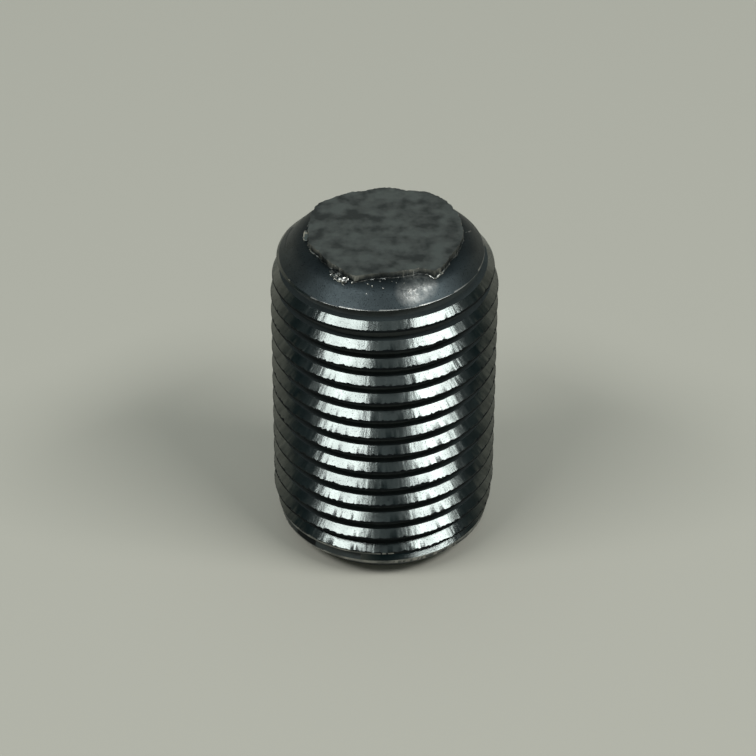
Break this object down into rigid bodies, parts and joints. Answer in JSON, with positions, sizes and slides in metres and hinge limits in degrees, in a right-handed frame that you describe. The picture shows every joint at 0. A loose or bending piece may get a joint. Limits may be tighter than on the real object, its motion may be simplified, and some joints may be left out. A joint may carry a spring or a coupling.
{
  "type": "threaded nipple",
  "caption": "Short black steel nipple, threaded along its whole length, with a hexagonal through bore and chamfered ends.",
  "frame": {"origin": "centre of the bottom end face, on the thread's axis", "axes": "+Z along the thread's axis, towards the top end face; two corners of the hexagonal bore lie on the X axis"},
  "size_m": [0.0098, 0.0098, 0.015],
  "materials": {
    "black_steel": "satin"
  },
  "bodies": {
    "root": {"nipple": "black_steel"}
  },
  "joints": []
}
